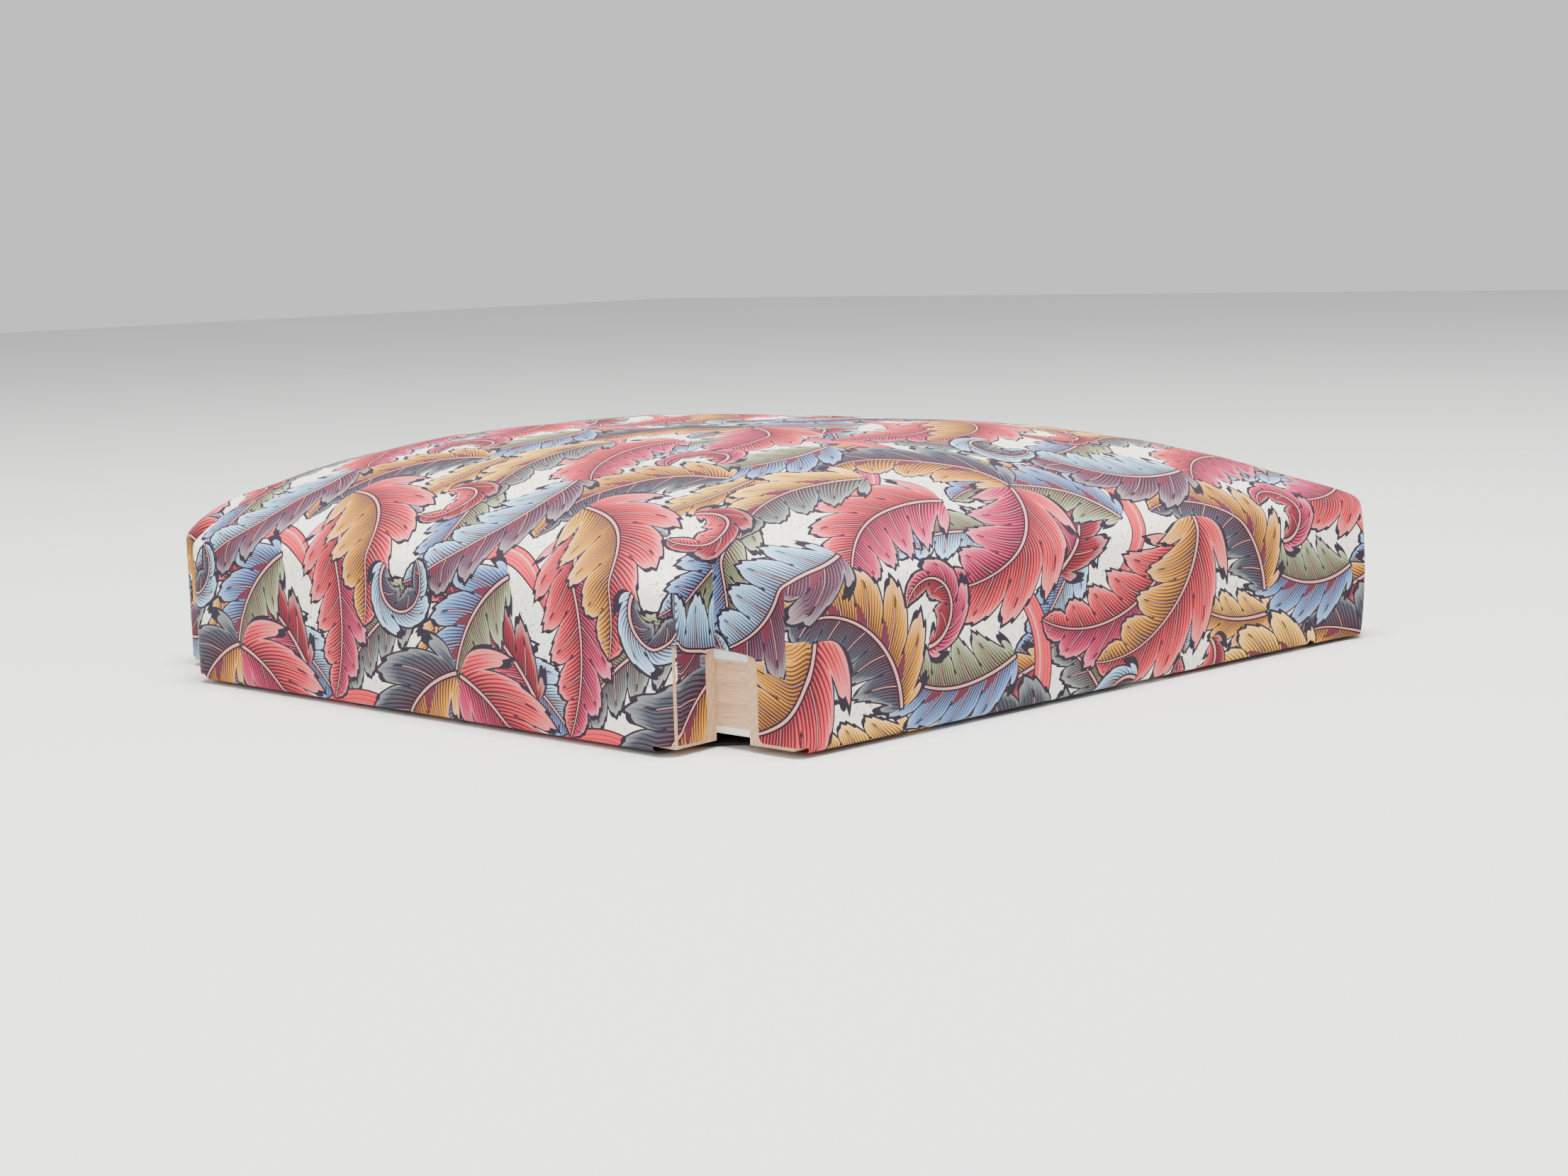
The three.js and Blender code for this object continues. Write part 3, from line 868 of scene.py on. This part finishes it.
# ---- the printed cotton: scrolling leaves of this script's own drawing, in millimetres ----
REPEAT = (160.0, 250.0)  # of the print, across and along the cloth
INK = (0.018, 0.013, 0.022)
MAROON = (0.105, 0.017, 0.032)
SHADE = (0.020, 0.006, 0.011)
PALE = (0.82, 0.38, 0.34)
CREAM = (0.90, 0.87, 0.76)
SKETCH = (0.28, 0.20, 0.10)
DYES = {
    "coral": (0.66, 0.044, 0.058), "rose": (0.52, 0.028, 0.100), "crimson": (0.26, 0.016, 0.028),
    "pink": (0.78, 0.140, 0.190), "ochre": (0.60, 0.250, 0.018), "gold": (0.84, 0.44, 0.055),
    "blue": (0.13, 0.25, 0.50), "sky": (0.28, 0.50, 0.70), "slate": (0.045, 0.060, 0.080),
    "grey": (0.125, 0.145, 0.140), "sage": (0.23, 0.27, 0.14), "mauve": (0.115, 0.058, 0.088),
}
# middle, heading of the rib there, length, half width, bend, lobes, left dye, right dye,
# side with maroon wedges (1 left, -1 right, 0 none), how far the lobes sweep forward
UNDER_LEAVES = [
    ((22, 20), 40, 92, 18, 50, 5, "grey", "sage", 0, 1.0),
    ((66, 38), 140, 88, 17.5, -50, 5, "sky", "blue", 0, 1.0),
    ((104, 8), -30, 92, 18, 60, 5, "rose", "crimson", 0, 1.0),
    ((148, 52), 60, 88, 17.5, -55, 5, "gold", "ochre", 0, 1.0),
    ((20, 96), 120, 88, 18, 45, 5, "coral", "ochre", 0, 1.0),
    ((104, 96), 80, 88, 17.5, 52, 5, "sky", "sage", 0, 1.0),
    ((146, 122), 170, 92, 18, 55, 5, "blue", "sky", 0, 1.0),
    ((28, 172), 75, 74, 15, -45, 4, "ochre", "gold", 0, 1.0),
    ((60, 190), 150, 90, 17.5, 55, 5, "sky", "mauve", 0, 1.0),
    ((100, 176), 30, 88, 17.5, 60, 5, "rose", "pink", 0, 1.0),
    ((144, 214), 100, 90, 18, -55, 5, "sage", "blue", 0, 1.0),
]
# middle, heading there, length, half width, bend, dye
STEMS = [
    ((60, 60), 30, 90, 6, 95, "coral"),
    ((150, 100), 130, 80, 5.5, -100, "rose"),
    ((88, 228), 160, 85, 6, -90, "coral"),
]
OVER_LEAVES = [
    ((44, 2), 100, 106, 26, -80, 5, "rose", "coral", 0, 1.2),
    ((122, 26), 70, 104, 25, 85, 6, "sage", "blue", -1, 1.0),
    ((4, 62), 60, 102, 29, 95, 4, "ochre", "slate", 1, 1.0),
    ((84, 68), 115, 104, 31, -90, 4, "coral", "rose", 0, 1.3),
    ((40, 122), 70, 104, 24, -85, 6, "blue", "sage", 1, 1.0),
    ((122, 134), 110, 104, 29, 80, 5, "rose", "coral", 0, 1.2),
    ((2, 146), 95, 96, 25, 60, 4, "grey", "gold", -1, 1.0),
    ((80, 166), 55, 102, 26, 100, 6, "slate", "ochre", -1, 1.0),
    ((36, 216), 125, 106, 31, -95, 4, "coral", "ochre", 0, 1.3),
    ((118, 214), 60, 104, 26, -90, 5, "mauve", "sky", 1, 1.0),
    ((80, 112), 30, 62, 12, 250, 3, "crimson", "rose", 0, 0.7),
    ((158, 8), 190, 62, 12, 260, 3, "slate", "sky", 0, 0.7),
    ((156, 190), 100, 60, 12, -250, 3, "crimson", "coral", 0, 0.7),
]


RIB_INPUTS = ("x", "y", "middle_x", "middle_y", "ahead_x", "ahead_y", "radius", "side",
              "length", "width")


def rib_values(x, y, middle, heading, length, width, bend):
    """What a leaf's or a stem's group is given, for a rib that is an arc."""
    return {
        "x": x, "y": y, "middle_x": middle[0], "middle_y": middle[1],
        "ahead_x": math.cos(math.radians(heading)), "ahead_y": math.sin(math.radians(heading)),
        "radius": length / math.radians(abs(bend)), "side": math.copysign(1, bend),
        "length": length, "width": width,
    }


def along_rib(g):
    """A point's share of the way along the rib, and its distance to the left in half widths."""
    dx = wrap(g["x"] - g["middle_x"], REPEAT[0])
    dy = wrap(g["y"] - g["middle_y"], REPEAT[1])
    forward = dx * g["ahead_x"] + dy * g["ahead_y"]
    off = g["radius"] - (dy * g["ahead_x"] - dx * g["ahead_y"]) * g["side"]
    share = bearing(forward, off) * g["radius"] / g["length"] + 0.5
    across = (g["radius"] - root(forward * forward + off * off)) * g["side"] / g["width"]
    return share, across


LOBE_PEAK, TOOTH_PEAK = 0.62, 0.7  # how far along its base a lobe or a tooth has its tip
LOBE_DEEP, TOOTH_DEEP, LEAF_CORE = 0.46, 0.085, 0.46  # as shares of the leaf's half width
LOBE_TEETH, LOBE_HATCHES = 4, 11  # how many to each lobe
OUTLINE, LOBE_OUTLINE = 1.6, 0.5  # of ink: out from the leaf, and to each side of a lobe


def leaf_edge(lobe, tooth, spread, spare):
    """How far out the leaf reaches, with each lobe and tooth widened by a spare share."""
    big = lowest((lobe + spare) / LOBE_PEAK, (1 - lobe + spare) / (1 - LOBE_PEAK))
    wider = spare * 3
    small = lowest((tooth + wider) / TOOTH_PEAK, (1 - tooth + wider) / (1 - TOOTH_PEAK))
    return spread * (big * (2 - big) * LOBE_DEEP + small * TOOTH_DEEP + LEAF_CORE)


def leaf_shading(g, across, phase, lobe, near_rib):
    """The leaf's two dyes, paler at its edge, and dark hatching and wedges near its rib."""
    colour = paint(g["right"], g["left"], across > 0)
    colour = paint(colour, CREAM, clamped(0.3 - near_rib) * 0.6)
    colour = paint(colour, MAROON, near_rib * near_rib * 0.62)
    hatching = fraction(phase * LOBE_HATCHES - near_rib * 0.6) < near_rib * 0.72
    colour = paint(colour, SHADE, hatching * 0.85)
    wedge = near_rib > 0.5 + abs(lobe - 0.95) * 1.2
    return paint(colour, MAROON, wedge * (across * g["wedge_side"] > 0))


def leaf_lines(g, colour, share, way, out, lobe, lobe_length, near_rib):
    """A vein up each lobe, an ink slit ending in a drop between lobes, and the rib."""
    from_vein = abs(lobe - 0.58) * lobe_length
    colour = paint(colour, SHADE, (from_vein < 0.9) * (near_rib > 0.2) * 0.8)
    colour = paint(colour, PALE, (from_vein < 0.3) * (near_rib > 0.35) * 0.5)
    from_slit = lowest(lobe, 1 - lobe) * lobe_length
    from_drop = (near_rib - 0.45) * g["width"]
    slit = (from_slit < 0.45) * (near_rib < 0.45)
    drop = from_slit * from_slit + from_drop * from_drop < 1.3
    colour = paint(colour, INK, highest(slit, drop) * (share > 0.15) * (share < 0.85))
    from_rib = out * g["width"]
    colour = paint(colour, SHADE, from_rib < 1.6 - way * 0.9)
    return paint(colour, PALE, (from_rib < 0.75 - way * 0.55) * 0.7)


def leaf_group():
    """The nodes that draw one lobed leaf over what is under it."""
    group, g = start_group("leaf", RIB_INPUTS + ("lobes", "sweep", "wedge_side"),
                           ("under", "left", "right"))
    share, across = along_rib(g)
    out, way = abs(across), clamped(share)
    spread = way**0.4 * (1 - way) ** 0.75 * 1.95
    phase = share * g["lobes"] - out * g["sweep"]
    lobe, tooth = fraction(phase), fraction(phase * LOBE_TEETH)
    lobe_length = g["length"] / g["lobes"]
    edge = leaf_edge(lobe, tooth, spread, 0.0)
    inked = leaf_edge(lobe, tooth, spread, LOBE_OUTLINE / lobe_length) + OUTLINE / g["width"]
    near_rib = 1 - out / edge
    colour = leaf_shading(g, across, phase, lobe, near_rib)
    colour = leaf_lines(g, colour, share, way, out, lobe, lobe_length, near_rib)
    inside = (out < edge) * (share > 0) * (share < 1)
    under = paint(g["under"], INK, (out < inked) * (share > -0.01) * (share < 1.01))
    return end_group(group, paint(under, colour, inside), g["x"])


def stem_group():
    """The nodes that draw a curved band of stalks over what is under it."""
    group, g = start_group("stem", RIB_INPUTS, ("under", "dye"))
    share, across = along_rib(g)
    edge = 1 - share * 0.55
    strand = across / edge
    colour = paint(g["dye"], PALE, (abs(strand - 0.35) < 0.2) * 0.45)
    colour = paint(colour, MAROON, (abs(fraction(strand * 2.5) - 0.5) < 0.09) * 0.8)
    ends = (share > 0) * (share < 1)
    under = paint(g["under"], INK, (abs(across) < edge + 0.7 / g["width"]) * ends)
    return end_group(group, paint(under, colour, (abs(across) < edge) * ends), g["x"])


def ground(x, y):
    """The cream ground, with a fine broken scribble all over it."""
    swirl = sine(x * 0.42 + sine(y * 0.5) * 2.2) + sine(y * 0.37 + sine(x * 0.45) * 2.5)
    stroke = abs(sine(swirl * 4.5)) < 0.3
    broken = sine(x * 1.3 + swirl) * sine(y * 1.1 - swirl) > -0.2
    return paint(CREAM, SKETCH, stroke * broken * 0.75)


def draw_leaves(leaf, leaves, colour, x, y):
    for *rib, lobes, left, right, wedge_side, sweep in leaves:
        colour, x = use_group(leaf, under=colour, lobes=lobes, left=DYES[left], sweep=sweep,
                              right=DYES[right], wedge_side=wedge_side, **rib_values(x, y, *rib))
    return colour, x


THREAD = 0.8  # millimetres from one thread of the weave to the next but one


def printed_cotton():
    """The ground, then every leaf and stem in turn, each over the ones before it."""
    leaf, stem = leaf_group(), stem_group()
    material = start_material("cover_print")
    u, v, _ = axes(cloth_place())
    x, y = u * 1000, v * 1000
    colour, x = draw_leaves(leaf, UNDER_LEAVES, ground(x, y), x, y)
    for *rib, dye in STEMS:
        colour, x = use_group(stem, under=colour, dye=DYES[dye], **rib_values(x, y, *rib))
    colour, x = draw_leaves(leaf, OVER_LEAVES, colour, x, y)
    thread = sine(x * (math.tau / THREAD)) * sine(y * (math.tau / THREAD))
    slub = noise(object_place(), 220.0)
    finish(colour, slub * 0.12 + 0.70, thread * 0.5 + slub, 0.00012,
           {"Sheen Weight": 0.12, "Sheen Roughness": 0.2, "Specular IOR Level": 0.2})
    return material


# ---- the plain materials ----
WHITE, OFF_WHITE = (0.80, 0.79, 0.76), (0.62, 0.60, 0.56)
UNBLEACHED, SEED = (0.66, 0.60, 0.47), (0.30, 0.22, 0.13)
HAIR_DARK, HAIR_LIGHT = (0.020, 0.014, 0.010), (0.10, 0.075, 0.055)
COIR_DARK, COIR_LIGHT = (0.10, 0.050, 0.020), (0.36, 0.20, 0.085)
JUTE, JUTE_DARK = (0.42, 0.30, 0.165), (0.16, 0.10, 0.050)
BEECH, BEECH_RING, BEECH_FLECK = (0.56, 0.36, 0.205), (0.40, 0.225, 0.115), (0.26, 0.13, 0.062)
BLACK, BLACK_WORN = (0.012, 0.012, 0.013), (0.035, 0.034, 0.036)
STEEL, STEEL_DULL = (0.56, 0.55, 0.53), (0.30, 0.29, 0.28)
BLUED, BLUED_WORN = (0.030, 0.034, 0.045), (0.20, 0.19, 0.18)


def join_axes(x, y, z):
    node = NODES.new("ShaderNodeCombineXYZ")
    for index, value in enumerate((x, y, z)):
        feed(node, index, value)
    return node.outputs[0]


def threads(size):
    """A plain weave's height. Each wall shows the two threads that lie in it."""
    x, y, z = axes(object_place())
    turn = math.tau / (size / 1000)
    return sine((x + z) * turn) * sine((y + z) * turn)


def plain_weave(name, light, dark, thread):
    material = start_material(name)
    weave = threads(thread)
    uneven = noise(object_place(), 160.0)
    # paler and darker jute at random, and darker where the weave lies low: painted shade in the
    # hollows between its threads
    colour = paint(light, dark, clamped((uneven - 0.35) * 1.1 - weave * 0.35))
    finish(colour, uneven * 0.15 + 0.8, weave + uneven, 0.0003)
    return material


def calico_weave():
    material = start_material("calico_cloth")
    weave = threads(0.9)
    uneven = noise(object_place(), 90.0)
    fleck = noise(object_place(), 1400.0, 1.0) > 0.74
    colour = paint(paint(UNBLEACHED, WHITE, uneven * 0.5), SEED, fleck * 0.6)
    finish(colour, uneven * 0.1 + 0.8, weave * 0.5 + uneven, 0.0001)
    return material


def wadding_fluff():
    material = start_material("wadding_fluff")
    tuft = noise(object_place(), 140.0, 8.0)
    strand = noise(object_place(), 900.0, 2.0)
    colour = paint(WHITE, OFF_WHITE, clamped(tuft * 1.6 - 0.5))
    finish(colour, 0.95, tuft + strand * 0.3, 0.001)
    return material


def loose_fibre(name, dark, light, scale):
    """Curled fibres: thin lines where a warped noise crosses its middle."""
    material = start_material(name)
    curl = noise(object_place(), scale / 6)
    x, y, z = axes(object_place())
    place = join_axes(x + curl * 0.01, y - curl * 0.01, z + curl * 0.006)
    strand = abs(noise(place, scale, 2.0) - 0.5)
    line = 1 - clamped(strand * 14)
    finish(paint(dark, light, line * 0.8 + curl * 0.2), 0.7, line, 0.0008)
    return material


def beech(name, along):
    """Beech with its grain along an axis, its growth rings and its short flecks."""
    material = start_material(name)
    place = axes(object_place())
    length = place.pop("xyz".index(along))
    wide, deep = place
    drift = noise(join_axes(length * 1.5, wide * 6, deep * 6), 4.0)
    from_pith = root((wide + 0.31) * (wide + 0.31) + (deep + 0.12) * (deep + 0.12))
    ring = fraction((from_pith + drift * 0.012) / 0.0032)
    fleck = noise(join_axes(length * 0.12, wide, deep * 1.6), 1500.0, 1.0) > 0.62
    pore = noise(join_axes(length * 0.03, wide, deep), 2600.0, 1.0)
    colour = paint(BEECH, BEECH_RING, ring * ring * 0.55 + drift * 0.2)
    colour = paint(colour, BEECH_FLECK, fleck * 0.45)
    colour = paint(colour, BEECH_RING, clamped(pore - 0.5))
    finish(colour, drift * 0.2 + 0.5, pore - ring * 0.3, 0.0002)
    return material


def webbing_weave(name, across):
    """Jute webbing: a herringbone weave with a dark stripe near each edge."""
    material = start_material(name)
    share = axes(NODES.new("ShaderNodeTexCoord").outputs["Generated"])["xy".index(across)]
    x, y, z = axes(object_place())
    run, width = (y, x) if across == "x" else (x, y)
    zigzag = abs(fraction(width / 0.010) - 0.5) * 0.010
    twill = sine((run + zigzag) * (math.tau / 0.0024))
    uneven = noise(object_place(), 240.0)
    stripe = abs(abs(share - 0.5) - 0.36) < 0.035
    # uneven jute tone, and darker where the twill lies low: painted shade in the hollows between
    # its threads
    colour = paint(JUTE, JUTE_DARK, clamped(uneven * 0.7 - twill * 0.25))
    colour = paint(colour, BLACK_WORN, stripe * 0.8)
    finish(colour, uneven * 0.15 + 0.75, twill + uneven, 0.0004)
    return material


def black_cotton():
    material = start_material("black_cotton_cloth")
    weave = threads(0.7)
    uneven = noise(object_place(), 60.0)
    # uneven worn patches of the black, and paler where the weave stands high: a painted highlight
    # on its threads' crowns
    colour = paint(BLACK, BLACK_WORN, clamped(uneven + weave * 0.15))
    finish(colour, uneven * 0.1 + 0.8, weave * 0.4 + uneven, 0.00012)
    return material


def bare_metal(name, clean, worn, roughness):
    material = start_material(name)
    wear = noise(object_place(), 700.0, 4.0)
    colour = paint(clean, worn, clamped(wear * 2.4 - 0.9))
    finish(colour, wear * 0.25 + roughness, wear, 0.00005, {"Metallic": 1.0})
    return material


def dress_cad_nodes():
    """A better material on every CAD node that stays: (part of its name, the material)."""
    along_x, along_y = beech("beech_along_x", "x"), beech("beech_along_y", "y")
    finishes = (
        ("front_rail", along_x), ("back_rail", along_x), ("corner_block", along_x),
        ("side_rail", along_y),
        ("corner_screw", bare_metal("screw_steel", STEEL, STEEL_DULL, 0.25)),
        ("webbing_lengthways", webbing_weave("webbing_down", "x")),
        ("webbing_crossways", webbing_weave("webbing_over", "y")),
        ("hessian_base", plain_weave("hessian_cloth", JUTE, JUTE_DARK, 2.6)),
        ("dust_cover_tack", bare_metal("tack_steel", BLUED, BLUED_WORN, 0.3)),
    )
    for name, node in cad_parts.items():
        for part, material in finishes:
            if part in name:
                node.material_slots[0].material = material


# ---- scene ----
PHOTO_CAMERA = Vector((-0.8764, 0.9166, 0.2079))
CAMERA_AZIMUTH, CAMERA_PITCH, CAMERA_ROLL = 222.46, 7.9, -1.7
LENS = 57.5
SKY, SKY_STRENGTH = (0.97, 0.97, 1.0, 1), 0.85
FLOOR_SIZE, FLOOR_COLOUR = 12, (0.72, 0.71, 0.69)
LIGHTS = (  # name, place, width, watts
    ("key", (-0.4, 0.3, 2.4), 1.2, 215),
    ("fill", (-0.6, 2.2, 1.0), 1.6, 22),
)


def make_camera():
    data = bpy.data.cameras.new("camera")
    data.lens, data.sensor_width = LENS, 36.0
    camera = bpy.data.objects.new("camera", data)
    azimuth, pitch, tilt = (math.radians(a) for a in (CAMERA_AZIMUTH, CAMERA_PITCH, CAMERA_ROLL))
    level = math.cos(pitch)
    back = Vector((math.sin(azimuth) * level, -math.cos(azimuth) * level, math.sin(pitch)))
    turn = back.to_track_quat("Z", "Y").to_matrix().to_4x4() @ Matrix.Rotation(tilt, 4, "Z")
    camera.matrix_world = Matrix.Translation(PHOTO_CAMERA) @ turn
    bpy.context.scene.collection.objects.link(camera)
    bpy.context.scene.camera = camera


def make_floor():
    bpy.ops.mesh.primitive_plane_add(size=FLOOR_SIZE)
    floor = bpy.context.object
    floor.name = "floor"
    material = start_material("floor")
    finish(FLOOR_COLOUR, 0.8)
    floor.data.materials.append(material)


def make_light(name, place, size, watts):
    data = bpy.data.lights.new(name, "AREA")
    data.size, data.energy = size, watts
    light = bpy.data.objects.new(name, data)
    light.location = place
    light.rotation_euler = (-Vector(place)).to_track_quat("-Z", "Y").to_euler()
    bpy.context.scene.collection.objects.link(light)


def make_world():
    world = bpy.data.worlds.new("world")
    world.use_nodes = True
    background = world.node_tree.nodes["Background"]
    background.inputs["Color"].default_value = SKY
    background.inputs["Strength"].default_value = SKY_STRENGTH
    bpy.context.scene.world = world


TOP = top_grid()
SKIRT = make_skirt(TOP[LOOP_ROWS, LOOP_COLUMNS])
make_cover(*settle(TOP, SKIRT))
make_layers(TOP, SKIRT)
make_dust_cover()
dress_cad_nodes()
make_camera()
make_floor()
make_world()
for light in LIGHTS:
    make_light(*light)
